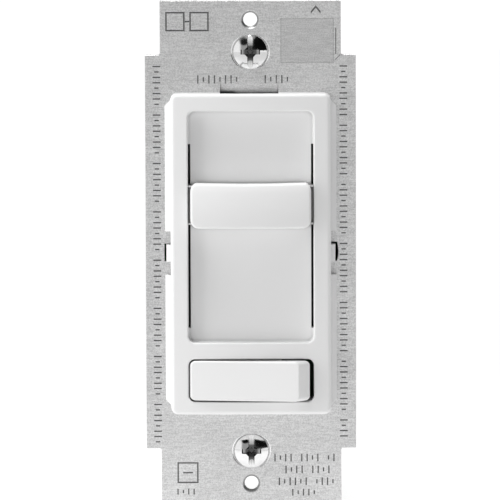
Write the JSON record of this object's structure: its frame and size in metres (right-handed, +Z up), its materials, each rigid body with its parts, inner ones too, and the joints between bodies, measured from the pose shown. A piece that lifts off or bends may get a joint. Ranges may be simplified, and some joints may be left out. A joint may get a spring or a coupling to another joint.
{
  "type": "dimmer slide switch",
  "caption": "Wall dimmer with a wide slide lever above a tilting rocker switch, in a white bezel on a notched metal mounting strap with a black rear housing.",
  "frame": {"origin": "centre of the mounting strap's back face, which lies against the wall box", "axes": "+Z up along the strap, +X to the right seen from the front, +Y into the wall; the front faces -Y"},
  "size_m": [0.0438, 0.0399, 0.1046],
  "materials": {
    "strap_aluminium": "fine rolled satin",
    "white_moulding": "satin moulded white",
    "black_housing": "fine matte black",
    "black_moulding": "matte black",
    "acetal": "smooth natural",
    "plated_steel": "bright zinc plate",
    "steel": "plain ground steel",
    "tinned_steel": "tinned sheet",
    "brass": "plain brass",
    "bronze": "spring bronze",
    "fibre": "vulcanised fibre, dull red",
    "insulating_film": "dull black film",
    "thermal_pad": "soft grey",
    "board": "green solder mask",
    "phenolic": "brown laminate",
    "carbon_track": "printed carbon",
    "epoxy_black": "moulded epoxy",
    "core_coating": "powder coat",
    "enamelled_copper": "clear enamel on copper",
    "film_case": "glossy case",
    "dipped_case": "dipped epoxy",
    "resistor_coat": "lacquer",
    "diac_glass": "coated glass",
    "solder": "bright solder"
  },
  "bodies": {
    "chassis": {"mounting_strap": "strap_aluminium", "box_screws": "plated_steel", "screw_retainers": "fibre", "bezel_frame": "white_moulding", "rocker_pin": "steel", "pot_shell": "tinned_steel", "pot_track_board": "phenolic", "pot_tracks": "carbon_track", "pot_pins": "tinned_steel", "pot_screws": "steel", "switch_base": "black_moulding", "switch_terminals": "brass", "detent_spring": "steel", "mode_switch_body": "black_moulding", "mode_switch_pins": "tinned_steel", "rear_housing": "black_housing", "housing_screws": "steel", "insulator_sheet": "insulating_film", "circuit_board": "board", "solder_joints": "solder", "lead_sockets": "brass", "triac_pad": "thermal_pad", "triac_tab": "tinned_steel", "triac_case": "epoxy_black", "triac_leads": "tinned_steel", "triac_screw": "steel", "choke_core": "core_coating", "choke_winding": "enamelled_copper", "film_capacitor": "film_case", "timing_capacitor": "dipped_case", "resistors": "resistor_coat", "diac": "diac_glass", "ground_lug": "brass"},
    "slider": {"slider_knob": "white_moulding", "slider_carriage": "acetal", "pot_slider": "acetal", "pot_wipers": "bronze"},
    "rocker": {"rocker_button": "white_moulding"},
    "shuttle": {"switch_shuttle": "acetal", "moving_contact": "bronze"},
    "mode_slide": {"mode_lever": "black_moulding", "mode_contact": "bronze"}
  },
  "joints": [
    {"name": "slider_slide", "type": "slide", "parent": "chassis", "child": "slider", "axis": [0, 0, 1], "range_m": [-0.0214, 0.0083]},
    {"name": "rocker_tilt", "type": "hinge", "parent": "chassis", "child": "rocker", "pos_m": [0, -0.00064, -0.02615], "axis": [0, 0, 1], "range_deg": [0, 16]},
    {"name": "shuttle_slide", "type": "slide", "parent": "chassis", "child": "shuttle", "axis": [1, 0, 0], "range_m": [-0.00175, 0]},
    {"name": "mode_slide", "type": "slide", "parent": "chassis", "child": "mode_slide", "axis": [1, 0, 0], "range_m": [0, 0.0087]}
  ],
  "couplings": [
    {"joint": "shuttle_slide", "follows": "rocker_tilt", "m_per_rad": -0.0062}
  ]
}
